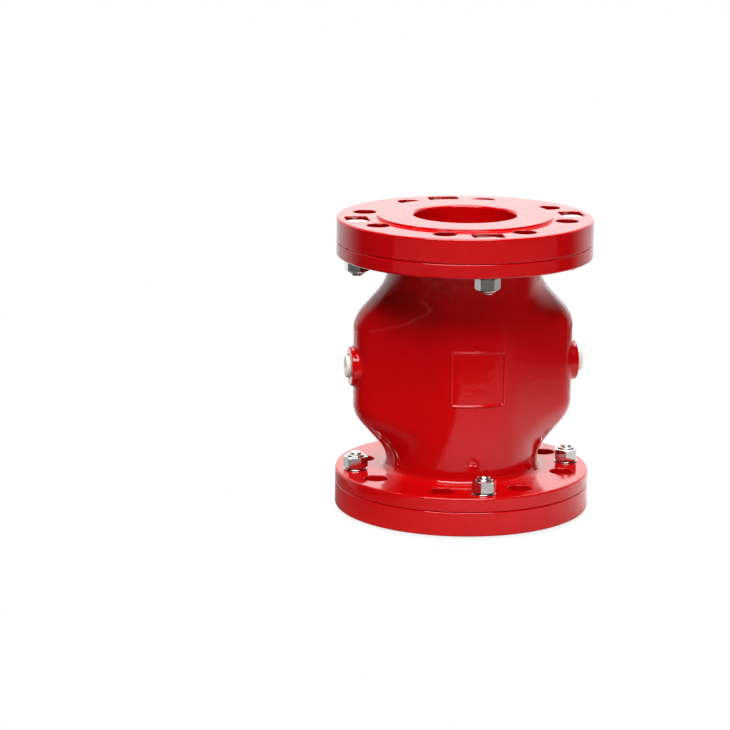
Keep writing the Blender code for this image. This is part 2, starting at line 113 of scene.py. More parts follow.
# Clamp bolts, nuts and washers
CLAMP_RADIUS = 0.085
CLAMP_PLACES = {"right": 0.0, "back": 90.0, "left": 180.0, "front": 270.0}
CLAMP_HOLE_RADIUS = 0.0055
HEX_FLATS = 0.017
HEX_CHAMFER = 0.00035
CHAMFER_SLOPE = math.tan(math.radians(30))
HEAD_HEIGHT = 0.0074
BOLT_LENGTH = 0.0352
THREAD_RADIUS = 0.005
THREAD_PITCH = 0.0015
THREAD_DEPTH = 0.0008
THREAD_LENGTH = 0.0167
NUT_HEX_HEIGHT = 0.0093
NUT_COLLAR_RADIUS = 0.0070
NUT_COLLAR_HEIGHT = 0.0013
NUT_TURNS = {
    "top": {"right": 20.0, "back": 41.0, "left": 5.0, "front": -12.0},
    "bottom": {"right": -14.0, "back": 33.0, "left": 18.0, "front": 6.0},
}
WASHER_RADIUS = 0.0095
WASHER_THICKNESS = 0.0008
POCKET_DEPTH = 0.0093
POCKET_HALF_RADIAL = 0.0088
POCKET_HALF_TANGENT = 0.012
POCKET_CORNER = 0.0040

# Places worked out from the sizes above
MIDDLE = FACE_TO_FACE / 2
BELLY_MIDDLE = MIDDLE - BELLY_DROP
COVER_SEAT = FACE_TO_FACE - RAISED_FACE_HEIGHT - COVER_THICKNESS - MIDDLE
BODY_HALF = COVER_SEAT - GAP
FLANGE_BACK = BODY_HALF - BODY_FLANGE_THICKNESS
CHAMBER_RADIUS = NECK_RADIUS - CASTING_WALL
LAND_RADIUS = SLEEVE_RADIUS + GAP
WING_CENTRE = WING_REACH - WING_TIP_RADIUS
WING_TANGENT = math.acos((NECK_RADIUS - WING_TIP_RADIUS) / WING_CENTRE)
SLEEVE_HALF = BODY_HALF - COLLAR_DEPTH
POCKET_FLOOR = COVER_THICKNESS - POCKET_DEPTH
SPOT_FACE = BOSS_FACE - SPOT_FACE_DEPTH

# Fineness
SIDES = 240
HOLE_SIDES = 48
SMALL_SIDES = 64
ARC_STEPS = 5
OVERCUT = 0.001
SHARP_ANGLE = math.radians(40)

# Camera, worked out from the ellipses of the flanges in the photograph
CAMERA_TURN = math.radians(-9.9)
CAMERA_DISTANCE = 2.1943
CAMERA_ELEVATION = math.radians(12.977)
CAMERA_ROLL = math.radians(0.458)
CAMERA_ASIDE = -0.0769
CAMERA_AIM_HEIGHT = 0.1128
CAMERA_LENS_MM = 137.54
SENSOR_MM = 36.0


def colour(code):
    """sRGB hex to the linear RGBA that shader sockets take."""
    value = np.array([int(code[i:i + 2], 16) for i in (0, 2, 4)]) / 255
    linear = np.where(value <= 0.04045, value / 12.92, ((value + 0.055) / 1.055) ** 2.4)
    return (*linear.tolist(), 1.0)


def add(tree, kind, inputs=(), **settings):
    """Add a node, give it its settings, and set or link each of its inputs."""
    made = tree.nodes.new(kind)
    for key, value in settings.items():
        setattr(made, key, value)
    for socket, value in dict(inputs).items():
        if isinstance(value, bpy.types.NodeSocket):
            tree.links.new(value, made.inputs[socket])
        else:
            made.inputs[socket].default_value = value
    return made


def new_material(name):
    """An empty node material, its output node and the object's own coordinates."""
    material = bpy.data.materials.new(name)
    material.use_nodes = True
    tree = material.node_tree
    tree.nodes.clear()
    output = add(tree, "ShaderNodeOutputMaterial")
    place = add(tree, "ShaderNodeTexCoord").outputs["Object"]
    return material, tree, output, place


def stove_enamel(name, light, deep, grain_height):
    """Red gloss enamel sprayed on iron and stoved.

    It gives a deep red under a clear shine, with the faint waviness of sprayed paint and,
    on the casting, the low pebbling of the sand mould below it.
    """
    material, tree, output, place = new_material(name)
    drift = add(tree, "ShaderNodeTexNoise", {"Vector": place, "Scale": 28.0, "Detail": 3.0})
    tone = add(tree, "ShaderNodeMix", {"Factor": drift.outputs["Fac"], "A": colour(deep), "B": colour(light)},
               data_type="RGBA")
    peel = add(tree, "ShaderNodeTexNoise", {"Vector": place, "Scale": 420.0, "Detail": 2.0})
    sand = add(tree, "ShaderNodeTexNoise", {"Vector": place, "Scale": 200.0, "Detail": 3.0, "Roughness": 0.5})
    waves = add(tree, "ShaderNodeBump", {"Height": peel.outputs["Fac"], "Strength": 1.0, "Distance": 0.000006})
    relief = add(tree, "ShaderNodeBump", {"Height": sand.outputs["Fac"], "Strength": 1.0,
                                          "Distance": grain_height, "Normal": waves.outputs["Normal"]})
    gloss = add(tree, "ShaderNodeMapRange", {"Value": sand.outputs["Fac"], "From Min": 0.3, "From Max": 0.7,
                                             "To Min": 0.06, "To Max": 0.11})
    shader = add(tree, "ShaderNodeBsdfPrincipled", {
        "Base Color": tone.outputs["Result"], "Roughness": gloss.outputs["Result"], "IOR": 1.5,
        "Normal": relief.outputs["Normal"]})
    tree.links.new(shader.outputs["BSDF"], output.inputs["Surface"])
    return material


def bright_stainless(name):
    """Cold-headed stainless steel, barrelled bright: grey white metal with fine handling marks."""
    material, tree, output, place = new_material(name)
    marks = add(tree, "ShaderNodeTexNoise", {"Vector": place, "Scale": 900.0, "Detail": 5.0, "Roughness": 0.7})
    cloud = add(tree, "ShaderNodeTexNoise", {"Vector": place, "Scale": 240.0, "Detail": 3.0})
    tone = add(tree, "ShaderNodeMix", {"Factor": cloud.outputs["Fac"], "A": colour("D4D1CD"),
                                       "B": colour("ECEAE7")}, data_type="RGBA")
    haze = add(tree, "ShaderNodeMapRange", {"Value": marks.outputs["Fac"], "From Min": 0.3, "From Max": 0.7,
                                            "To Min": 0.12, "To Max": 0.20})
    relief = add(tree, "ShaderNodeBump", {"Height": marks.outputs["Fac"], "Strength": 0.35,
                                          "Distance": 0.000012})
    shader = add(tree, "ShaderNodeBsdfPrincipled", {
        "Base Color": tone.outputs["Result"], "Metallic": 1.0, "Roughness": haze.outputs["Result"],
        "Normal": relief.outputs["Normal"]})
    tree.links.new(shader.outputs["BSDF"], output.inputs["Surface"])
    return material


def moulded_rubber(name):
    """Black natural rubber from a spark-eroded mould: matt, with a fine even grain and grey bloom."""
    material, tree, output, place = new_material(name)
    grain = add(tree, "ShaderNodeTexNoise", {"Vector": place, "Scale": 1100.0, "Detail": 3.0})
    bloom = add(tree, "ShaderNodeTexNoise", {"Vector": place, "Scale": 45.0, "Detail": 4.0})
    tone = add(tree, "ShaderNodeMix", {"Factor": bloom.outputs["Fac"], "A": colour("141416"),
                                       "B": colour("262628")}, data_type="RGBA")
    matt = add(tree, "ShaderNodeMapRange", {"Value": grain.outputs["Fac"], "From Min": 0.3, "From Max": 0.7,
                                            "To Min": 0.48, "To Max": 0.62})
    relief = add(tree, "ShaderNodeBump", {"Height": grain.outputs["Fac"], "Strength": 0.4,
                                          "Distance": 0.00006})
    shader = add(tree, "ShaderNodeBsdfPrincipled", {
        "Base Color": tone.outputs["Result"], "Roughness": matt.outputs["Result"],
        "Normal": relief.outputs["Normal"]})
    tree.links.new(shader.outputs["BSDF"], output.inputs["Surface"])
    return material


def moulded_polyethylene(name):
    """Natural polyethylene from an injection mould: waxy cream, soft shine, light seen through it."""
    material, tree, output, place = new_material(name)
    cloud = add(tree, "ShaderNodeTexNoise", {"Vector": place, "Scale": 160.0, "Detail": 3.0})
    tone = add(tree, "ShaderNodeMix", {"Factor": cloud.outputs["Fac"], "A": colour("F8F0E6"),
                                       "B": colour("FFFAF3")}, data_type="RGBA")
    grain = add(tree, "ShaderNodeTexNoise", {"Vector": place, "Scale": 1300.0, "Detail": 2.0})
    relief = add(tree, "ShaderNodeBump", {"Height": grain.outputs["Fac"], "Strength": 0.3,
                                          "Distance": 0.00003})
    matt = add(tree, "ShaderNodeMapRange", {"Value": grain.outputs["Fac"], "From Min": 0.3, "From Max": 0.7,
                                            "To Min": 0.36, "To Max": 0.48})
    shader = add(tree, "ShaderNodeBsdfPrincipled", {
        "Base Color": tone.outputs["Result"], "Roughness": matt.outputs["Result"], "IOR": 1.5,
        "Subsurface Weight": 0.3, "Subsurface Radius": (0.002, 0.0015, 0.001),
        "Normal": relief.outputs["Normal"]})
    tree.links.new(shader.outputs["BSDF"], output.inputs["Surface"])
    return material


def grid(points, wrap_rows=False, wrap_columns=True, caps=False):
    """Vertices and faces of a grid of points: rows along the profile, columns round it.

    Each face joins a point to the next one in its row and in its column. Caps close the
    first and the last row with one flat face each.
    """
    rows, columns = points.shape[:2]
    index = np.arange(rows * columns).reshape(rows, columns)
    if wrap_rows:
        index = np.vstack([index, index[:1]])
    if wrap_columns:
        index = np.hstack([index, index[:, :1]])
    quads = np.stack([index[:-1, :-1], index[:-1, 1:], index[1:, 1:], index[1:, :-1]], axis=-1)
    faces = quads.reshape(-1, 4).tolist()
    if caps:
        faces += [index[0, :columns].tolist(), index[-1, :columns].tolist()]
    return points.reshape(-1, 3), faces


def gathered(parts):
    """One list of vertices and faces from several, with the face numbers moved on."""
    vertices, faces, start = [], [], 0
    for points, polygons in parts:
        vertices.append(points)
        faces += [[corner + start for corner in polygon] for polygon in polygons]
        start += len(points)
    return np.vstack(vertices), faces


def mesh_object(name, *parts):
    """A mesh object at the origin from parts in row-frame metres, with its faces turned outwards."""
    vertices, faces = gathered(parts)
    mesh = bpy.data.meshes.new(name)
    mesh.from_pydata(vertices.tolist(), [], faces)
    bm = bmesh.new()
    bm.from_mesh(mesh)
    bmesh.ops.recalc_face_normals(bm, faces=bm.faces)
    bm.to_mesh(mesh)
    bm.free()
    made = bpy.data.objects.new(name, mesh)
    bpy.context.scene.collection.objects.link(made)
    return made


def carved(target, cutters):
    """Cut closed forms out of an object and keep the result as its plain mesh."""
    tool = mesh_object("tool", *cutters)
    cut = target.modifiers.new("cut", "BOOLEAN")
    cut.operation = "DIFFERENCE"
    cut.solver = "EXACT"
    cut.object = tool
    graph = bpy.context.evaluated_depsgraph_get()
    result = bpy.data.meshes.new_from_object(target.evaluated_get(graph))
    target.modifiers.clear()
    rough = target.data
    target.data = result
    result.name = target.name
    bpy.data.meshes.remove(rough)
    bpy.data.objects.remove(tool)
    return target


def finished(piece, material, slot, body, *nodes):
    """Smooth the piece, give it its finish, put it on its body and let it stand for its nodes."""
    mesh = piece.data
    mesh.materials.clear()
    mesh.materials.append(material)
    mesh.shade_smooth()
    mesh.set_sharp_from_angle(angle=SHARP_ANGLE)
    flat = piece.modifiers.new("flat faces stay flat", "WEIGHTED_NORMAL")
    flat.keep_sharp = True
    flat.weight = 90
    if body:
        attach(piece, body)
    if nodes:
        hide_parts(*nodes)
    return piece


def painted_hole_shade(piece, paint):
    """Give the walls of a flange's holes and pockets a darker red: painted shade for the shade that falls inside
    them.

    A face is inside where (along / half) ^ n + (across / half) ^ n < 1 about a hole's axis, with n = 2
    for a round hole and 8 for a pocket, unless it lies in the flange's own flat.
    """
    mesh = piece.data
    mesh.materials.append(paint)
    middle = np.empty(3 * len(mesh.polygons))
    facing = np.empty(3 * len(mesh.polygons))
    mesh.polygons.foreach_get("center", middle)
    mesh.polygons.foreach_get("normal", facing)
    middle = middle.reshape(-1, 3)
    level = np.abs(facing.reshape(-1, 3)[:, 2]) > 0.75
    depth = np.abs(np.abs(middle[:, 2] - MIDDLE) - COVER_SEAT - COVER_THICKNESS)
    inside = np.zeros(len(middle), dtype=bool)
    for angles, spot, radial, tangential, power in (
            (pipe_bolt_angles(), PIPE_BOLT_RADIUS, PIPE_HOLE_RADIUS, PIPE_HOLE_RADIUS, 2),
            (clamp_angles(), CLAMP_RADIUS, POCKET_HALF_RADIAL, POCKET_HALF_TANGENT, 8)):
        for angle in angles:
            along = middle[:, 0] * math.cos(angle) + middle[:, 1] * math.sin(angle) - spot
            across = middle[:, 1] * math.cos(angle) - middle[:, 0] * math.sin(angle)
            inside |= (np.abs(along / (radial + GAP)) ** power + np.abs(across / (tangential + GAP)) ** power) < 1
    inside &= ~(level & (depth < 0.002))
    # Faces inside the holes and pockets take the darker paint, which is painted shade.
    mesh.polygons.foreach_set("material_index", inside.astype(np.int32))
    mesh.update()


def rounded(corners, steps=ARC_STEPS):
    """A closed outline from (x, y, radius) corners, each rounded by an arc tangent to its two sides.

    The arc runs between the tangent points, radius / tan(half the corner's angle) from
    the corner, about a centre on the corner's bisector.
    """
    spots = np.array([corner[:2] for corner in corners], float)
    outline = []
    for number, (x, y, radius) in enumerate(corners):
        here = spots[number]
        if radius == 0:
            outline.append(here[None])
            continue
        back = spots[number - 1] - here
        on = spots[(number + 1) % len(spots)] - here
        back /= np.linalg.norm(back)
        on /= np.linalg.norm(on)
        half = math.acos(np.clip(back @ on, -1, 1)) / 2
        bisector = (back + on) / np.linalg.norm(back + on)
        centre = here + bisector * radius / math.sin(half)
        start = here + back * radius / math.tan(half) - centre
        end = here + on * radius / math.tan(half) - centre
        turn = math.atan2(start[0] * end[1] - start[1] * end[0], start @ end)
        angles = turn * np.linspace(0, 1, steps + 1)[:, None]
        across = np.array([-start[1], start[0]])
        outline.append(centre + start * np.cos(angles) + across * np.sin(angles))
    return np.vstack(outline)


def around(count, start=0.0):
    """Evenly spaced angles of a full turn."""
    return start + np.linspace(0, 2 * math.pi, count, endpoint=False)


def turned(outline, sides=SIDES):
    """Carry a closed (radius, height) outline round Z: x, y = radius * cos, sin of the angle."""
    angle = around(sides)
    radius, height = outline[:, :1], outline[:, 1:]
    points = np.stack([radius * np.cos(angle), radius * np.sin(angle), height + 0 * angle], axis=-1)
    return grid(points, wrap_rows=True)


def placed(part, matrix):
    """Carry a part's vertices through a matrix."""
    points, faces = part
    turn = np.array(matrix)
    return points @ turn[:3, :3].T + turn[:3, 3], faces


def standing(end, height, angle=0.0, radius=0.0):
    """The place of a form made upright for the upper end, mirrored to the lower end by a half turn about X."""
    upright = Matrix.Rotation(0.0 if end == "top" else math.pi, 4, "X")
    side = 1 if end == "top" else -1
    spot = (radius * math.cos(angle), radius * math.sin(angle), MIDDLE + side * height)
    return Matrix.Translation(spot) @ Matrix.Rotation(angle, 4, "Z") @ upright


def on_circle(part, radius, angles):
    """Copies of a part on a circle about Z, each turned with its angle."""
    return [placed(part, Matrix.Translation((radius * math.cos(a), radius * math.sin(a), 0))
                   @ Matrix.Rotation(a, 4, "Z")) for a in angles]


def pipe_bolt_angles():
    """Pipe bolts straddle the axes."""
    return around(PIPE_BOLTS, math.pi / PIPE_BOLTS)


def clamp_angles():
    """Clamp bolts lie on the axes."""
    return [math.radians(degrees) for degrees in CLAMP_PLACES.values()]


def lipped_cutter(outline, low, high, low_lip, high_lip):
    """A cutter that follows an outline and flares where it leaves a face, so the hole's edge is rounded.

    Each flare is a quarter circle: offset = lip * (1 - cos t), depth = lip * (1 - sin t),
    stopped short of the face and carried on straight, so that it crosses the face cleanly.
    """
    ahead = np.roll(outline, -1, axis=0) - np.roll(outline, 1, axis=0)
    outward = np.stack([ahead[:, 1], -ahead[:, 0]], axis=1)
    outward /= np.linalg.norm(outward, axis=1)[:, None]
    swing = np.radians([0, 18, 36, 54, 70])
    levels = []
    for face, lip, sign in ((low, low_lip, -1), (high, high_lip, 1)):
        if lip:
            flare = [(lip * (1 - math.cos(t)), face - sign * lip * (1 - math.sin(t))) for t in swing]
            flare += [(lip * 1.1, face + sign * lip * 0.25), (lip * 1.1, face + sign * OVERCUT)]
        else:
            flare = [(0.0, face)]
        levels.append(flare[::sign])
    path = np.array(levels[0] + levels[1])
    ring = outline[None] + outward[None] * path[:, None, :1]
    height = np.broadcast_to(path[:, None, 1:], (*ring.shape[:2], 1))
    return grid(np.concatenate([ring, height], axis=2), caps=True)


def circle(radius, sides=HOLE_SIDES):
    """A circle's outline, anticlockwise, with a flat and no corner on the radial line it is set on."""
    angle = around(sides, math.pi / sides)
    return radius * np.stack([np.cos(angle), np.sin(angle)], axis=1)


def soft_step(value, softness):
    """Rise from 0 to 1 with the value, with each corner replaced by a parabola as wide as the softness."""
    upper = np.maximum(softness - np.abs(value - 1), 0) / softness
    value = np.minimum(value, 1) - upper ** 2 * softness / 4
    lower = np.maximum(softness - np.abs(value), 0) / softness
    return np.maximum(value, 0) + lower ** 2 * softness / 4


def wing_depth(from_side):
    """How far the belly's oval stands outside the neck at an angle from the wing's tip.

    The tip is a circle about WING_CENTRE, then a straight tangent to the neck's circle,
    whose radius at an angle is NECK_RADIUS / cos(tangent angle - angle).
    """
    touch = math.atan2(WING_TIP_RADIUS * math.sin(WING_TANGENT),
                       WING_CENTRE + WING_TIP_RADIUS * math.cos(WING_TANGENT))
    across = WING_CENTRE * np.sin(from_side)
    tip = WING_CENTRE * np.cos(from_side) + np.sqrt(np.maximum(WING_TIP_RADIUS ** 2 - across ** 2, 0))
    flank = NECK_RADIUS / np.cos(WING_TANGENT - from_side)
    oval = np.where(from_side < touch, tip, flank)
    return np.where(from_side < WING_TANGENT, oval - NECK_RADIUS, 0.0)


def swell(angle, height):
    """How far the casting stands outside its neck: the wing's depth times a shoulder's rise.

    The shoulder's reach shrinks with the square of the angle from the side, so each wing
    ends in a pointed crease where it leaves the neck.
    """
    from_side = np.arccos(np.clip(np.abs(np.cos(angle)), 0, 1))
    reach = SHOULDER_REACH * np.maximum(1 - (from_side / WING_TANGENT) ** 2, 0.08)
    rise = (SHOULDER_LEVEL - np.abs(height + BELLY_DROP)) / (2 * reach) + 0.5
    return wing_depth(from_side) * soft_step(rise, SHOULDER_SOFTNESS)


def casting_belly():
    """Neck, belly and air chamber in one closed skin, from the fillets under the flanges inwards.

    Rows follow the section: outside from the lower fillet to the upper one, then the upper
    seat, land and chamber back down. Wall points are pushed out by the swell.
    """
    shoulder_top = SHOULDER_LEVEL + SHOULDER_REACH * (1 + 2 * SHOULDER_SOFTNESS) + BELLY_DROP
    fillet_start = FLANGE_BACK - NECK_FILLET
    bend = np.linspace(0, math.pi / 2, 9)
    wall = np.concatenate([np.linspace(0, 0.022, 6)[:-1], np.linspace(0.022, shoulder_top, 44),
                           [fillet_start - 0.0004]])
    outer = [(NECK_RADIUS, height, 1.0) for height in wall]
    outer += [(NECK_RADIUS + NECK_FILLET * (1 - math.cos(t)), fillet_start + NECK_FILLET * math.sin(t), 0.0)
              for t in bend]
    outer += [(PLATE_INNER, FLANGE_BACK, 0.0), (PLATE_INNER, BODY_HALF, 0.0)]
    chamber_end = BODY_HALF - LAND_DEPTH - (CHAMBER_RADIUS - LAND_RADIUS)
    inner = [(SEAT_MOUTH_RADIUS, BODY_HALF, 0.0), (SEAT_FOOT_RADIUS, BODY_HALF - SEAT_DEPTH, 0.0),
             (LAND_RADIUS, BODY_HALF - SEAT_DEPTH - (SEAT_FOOT_RADIUS - LAND_RADIUS), 0.0),
             (LAND_RADIUS, BODY_HALF - LAND_DEPTH, 0.0)]
    inner += [(CHAMBER_RADIUS, height, 1.0) for height in np.linspace(chamber_end, 0.0, 34)]
    upper = np.array(outer + inner)
    count = len(outer)
    lower = upper * (1, -1, 1)
    rows = np.vstack([lower[1:count][::-1], upper, lower[count:-1][::-1]])
    angle = around(SIDES)
    radius = rows[:, :1] + rows[:, 2:] * swell(angle[None], rows[:, 1:2])
    points = np.stack([radius * np.cos(angle), radius * np.sin(angle),
                       MIDDLE + rows[:, 1:2] + 0 * angle], axis=-1)
    return grid(points, wrap_rows=True)


def wing_surface(across):
    """How far from the axis the wing's tip lies at a distance to the side of the port's axis."""
    sideways = np.abs(across)
    tip = WING_CENTRE + np.sqrt(np.maximum(WING_TIP_RADIUS ** 2 - sideways ** 2, 0))
    flank = (NECK_RADIUS - sideways * math.sin(WING_TANGENT)) / math.cos(WING_TANGENT)
    return np.where(sideways < WING_TIP_RADIUS * math.sin(WING_TANGENT), tip, flank)


def air_boss(sign):
    """A port boss on +X or -X whose foot flows into the wing.

    Rows go from the foot of the fillet up to the face, over the spot face's step, down the
    port and back under the skin. A row is a circle round the port's axis. In the fillet its height above the wing
    is fillet * (1 - cos t) at radius boss + fillet * (1 - sin t).
    """
    turn = np.linspace(0, math.pi / 2, 9)
    foot = [(BOSS_RADIUS + BOSS_FILLET * (1 - math.sin(t)), BOSS_FILLET * (1 - math.cos(t)) - 0.00002, 1.0)
            for t in turn]
    edge = [(BOSS_RADIUS - BOSS_ROUND * (1 - math.cos(t)), BOSS_FACE - BOSS_ROUND * (1 - math.sin(t)), 0.0)
            for t in turn[::2]]
    step = [(SPOT_FACE_RADIUS + 0.0002, BOSS_FACE, 0.0), (SPOT_FACE_RADIUS, BOSS_FACE - 0.0002, 0.0),
            (SPOT_FACE_RADIUS, SPOT_FACE, 0.0)]
    lip = [(PORT_RADIUS + LIP_ROUND * (1 - math.sin(t)), SPOT_FACE - LIP_ROUND * (1 - math.cos(t)), 0.0)
           for t in turn[::2]]
    inside = [(PORT_RADIUS, -CASTING_WALL, 1.0), (BOSS_ROOM, -CASTING_WALL, 1.0),
              (BOSS_RADIUS + BOSS_FILLET, -0.001, 1.0)]
    rows = np.array(foot + edge + step + lip + inside)
    angle = around(SMALL_SIDES * 2)
    across = rows[:, :1] * np.cos(angle)
    upward = rows[:, :1] * np.sin(angle)
    out = rows[:, 1:2] + rows[:, 2:] * wing_surface(across)
    points = np.stack([sign * out, across, BELLY_MIDDLE + upward], axis=-1)
    return grid(points, wrap_rows=True)


def flange_plate(end):
    """One of the body's flanges, outside the belly's skin, with its rims rounded and its holes lipped."""
    section = rounded([(PLATE_INNER, FLANGE_BACK, 0), (FLANGE_RADIUS, FLANGE_BACK, RIM_ROUND),
                       (FLANGE_RADIUS, BODY_HALF, FACE_ROUND), (PLATE_INNER, BODY_HALF, 0)])
    matrix = standing(end, 0.0)
    plate = mesh_object(f"{end}_body_flange", placed(turned(section), matrix))
    pipe_hole = lipped_cutter(circle(PIPE_HOLE_RADIUS), FLANGE_BACK, BODY_HALF, LIP_ROUND, LIP_ROUND / 2)
    clamp_hole = lipped_cutter(circle(CLAMP_HOLE_RADIUS, 32), FLANGE_BACK, BODY_HALF, LIP_ROUND / 2, LIP_ROUND / 2)
    holes = on_circle(pipe_hole, PIPE_BOLT_RADIUS, pipe_bolt_angles())
    holes += on_circle(clamp_hole, CLAMP_RADIUS, clamp_angles())
    return carved(plate, [placed(hole, matrix) for hole in holes])


def flange_cover(end):
    """A pipe flange with its raised face, bore and clamping nose, drilled and pocketed."""
    face = COVER_THICKNESS + RAISED_FACE_HEIGHT
    section = rounded([
        (BORE_RADIUS, -NOSE_LENGTH, 0.0006), (NOSE_TIP_RADIUS, -NOSE_LENGTH, 0.0006),
        (NOSE_BASE_RADIUS, 0, 0), (FLANGE_RADIUS, 0, FACE_ROUND),
        (FLANGE_RADIUS, COVER_THICKNESS, RIM_ROUND), (RAISED_FACE_RADIUS, COVER_THICKNESS, 0.0008),
        (RAISED_FACE_RADIUS, face, FACE_ROUND), (BORE_RADIUS, face, BORE_ROUND)])
    matrix = standing(end, COVER_SEAT)
    cover = mesh_object(f"{end}_cover", placed(turned(section), matrix))
    pipe_hole = lipped_cutter(circle(PIPE_HOLE_RADIUS), 0, COVER_THICKNESS, LIP_ROUND / 2, LIP_ROUND)
    pocket_outline = rounded([(POCKET_HALF_RADIAL, POCKET_HALF_TANGENT, POCKET_CORNER),
                              (-POCKET_HALF_RADIAL, POCKET_HALF_TANGENT, POCKET_CORNER),
                              (-POCKET_HALF_RADIAL, -POCKET_HALF_TANGENT, POCKET_CORNER),
                              (POCKET_HALF_RADIAL, -POCKET_HALF_TANGENT, POCKET_CORNER)], 8)
    pocket = lipped_cutter(pocket_outline, POCKET_FLOOR, COVER_THICKNESS, 0, LIP_ROUND)
    shank_hole = lipped_cutter(circle(CLAMP_HOLE_RADIUS, 32), 0, POCKET_FLOOR, LIP_ROUND / 2, LIP_ROUND / 2)
    carved(cover, [placed(cutter, matrix) for cutter in on_circle(pocket, CLAMP_RADIUS, clamp_angles())])
    holes = on_circle(pipe_hole, PIPE_BOLT_RADIUS, pipe_bolt_angles())
    holes += on_circle(shank_hole, CLAMP_RADIUS, clamp_angles())
    return carved(cover, [placed(hole, matrix) for hole in holes])


def label_frame():
    """The raised bead round the label field: height * (1 + cos s) / 2 carried along a rounded square.

    The square lies on the neck's cylinder, its width measured along the surface.
    """
    corner = [(LABEL_HALF, LABEL_HALF), (-LABEL_HALF, LABEL_HALF), (-LABEL_HALF, -LABEL_HALF),
              (LABEL_HALF, -LABEL_HALF)]
    sparse = rounded([(x, y, LABEL_CORNER) for x, y in corner], 8)
    following = np.roll(sparse, -1, axis=0)
    steps = np.maximum((np.linalg.norm(following - sparse, axis=1) / 0.0015).astype(int), 1)
    path = np.vstack([a + (b - a) * np.linspace(0, 1, n, endpoint=False)[:, None]
                      for a, b, n in zip(sparse, following, steps)])
    ahead = np.roll(path, -1, axis=0) - np.roll(path, 1, axis=0)
    outward = np.stack([ahead[:, 1], -ahead[:, 0]], axis=1) / np.linalg.norm(ahead, axis=1)[:, None]
    swing = np.linspace(-1, 1, 15)
    aside = BEAD_HALF_WIDTH * np.concatenate([-swing, [-1, 1]])
    above = np.concatenate([BEAD_HEIGHT * (1 + np.cos(math.pi * swing)) / 2, [-BEAD_ROOT, -BEAD_ROOT]])
    spot = path[None] + outward[None] * aside[:, None, None]
    angle = spot[..., 0] / NECK_RADIUS - math.pi / 2
    radius = NECK_RADIUS + above[:, None]
    points = np.stack([radius * np.cos(angle), radius * np.sin(angle), BELLY_MIDDLE + spot[..., 1]], axis=-1)
    return grid(points, wrap_rows=True)


def sleeve_collar():
    """The flared end of the sleeve, pressed between the cover's nose and the body's seat."""
    nose = -NOSE_LENGTH
    section = rounded([
        (BORE_RADIUS, -COLLAR_DEPTH, 0), (SLEEVE_RADIUS, -COLLAR_DEPTH, 0),
        (SLEEVE_RADIUS, -SEAT_DEPTH - (SEAT_FOOT_RADIUS - LAND_RADIUS), 0.002),
        (SEAT_FOOT_RADIUS - GAP, -SEAT_DEPTH, 0.001), (SEAT_MOUTH_RADIUS - GAP, 0, 0.0012),
        (NOSE_BASE_RADIUS + GAP, 0, 0.0006), (NOSE_TIP_RADIUS + GAP, nose, 0.0006), (BORE_RADIUS, nose, 0.0006)])
    return turned(section, 128)


def sleeve_quarter(front, upper):
    """Half a turn of half the sleeve's length: rows follow the wall's section, columns the arc and the height."""
    arc = np.linspace(math.pi, 2 * math.pi, 65) if front else np.linspace(0, math.pi, 65)
    height = np.linspace(0, SLEEVE_HALF, 49) * (1 if upper else -1)
    skins = []
    for radius in (BORE_RADIUS, SLEEVE_RADIUS):
        skins.append(np.stack([radius * np.cos(arc)[None] + 0 * height[:, None],
                               radius * np.sin(arc)[None] + 0 * height[:, None],
                               MIDDLE + height[:, None] + 0 * arc[None]], axis=-1))
    inner, outer = skins
    rim = [np.stack([inner[row], outer[row]]) for row in (0, -1)]
    edge = [np.stack([inner[:, column], outer[:, column]]) for column in (0, -1)]
    return [grid(face, wrap_columns=False) for face in (inner, outer, *rim, *edge)]


def hex_angles():
    """Angles of a hexagonal piece, close together at its corners and wide on its flats."""
    sector = np.array([-29.0, -27.5, -24.0, -16.0, -8.0, 0.0, 8.0, 16.0, 24.0, 27.5, 29.0, 30.0])
    return np.radians(np.concatenate([sector + 60 * number for number in range(6)]))


def hex_radius(angle):
    """A hexagon with softened corners: flats / the 90th root of the sum of cos(angle to each flat) ^ 90."""
    to_flats = angle[:, None] - np.radians(np.arange(6) * 60)[None]
    power = 90
    return HEX_FLATS / 2 / np.sum(np.maximum(np.cos(to_flats), 0) ** power, axis=1) ** (1 / power)


def hex_rows(height, low_chamfer):
    """Rows of a hexagonal prism from the near face to the far one, its corners taken off by 30 degree cones."""
    angle = hex_angles()
    edge = hex_radius(angle)
    flat = HEX_FLATS / 2 - HEX_CHAMFER
    drop = np.maximum(edge - flat, 0) * CHAMFER_SLOPE
    near = drop if low_chamfer else 0 * drop
    rows = [(edge, near), (edge, height - drop), (0 * edge + flat, 0 * drop + height)]
    if low_chamfer:
        rows.insert(0, (0 * edge + flat, 0 * drop))
    return angle, rows


def polar_rows(angle, rows):
    """Points from (radius, height) rows, each an array over the angles."""
    return np.stack([np.stack([radius * np.cos(angle), radius * np.sin(angle), height + 0 * angle], axis=-1)
                     for radius, height in rows])


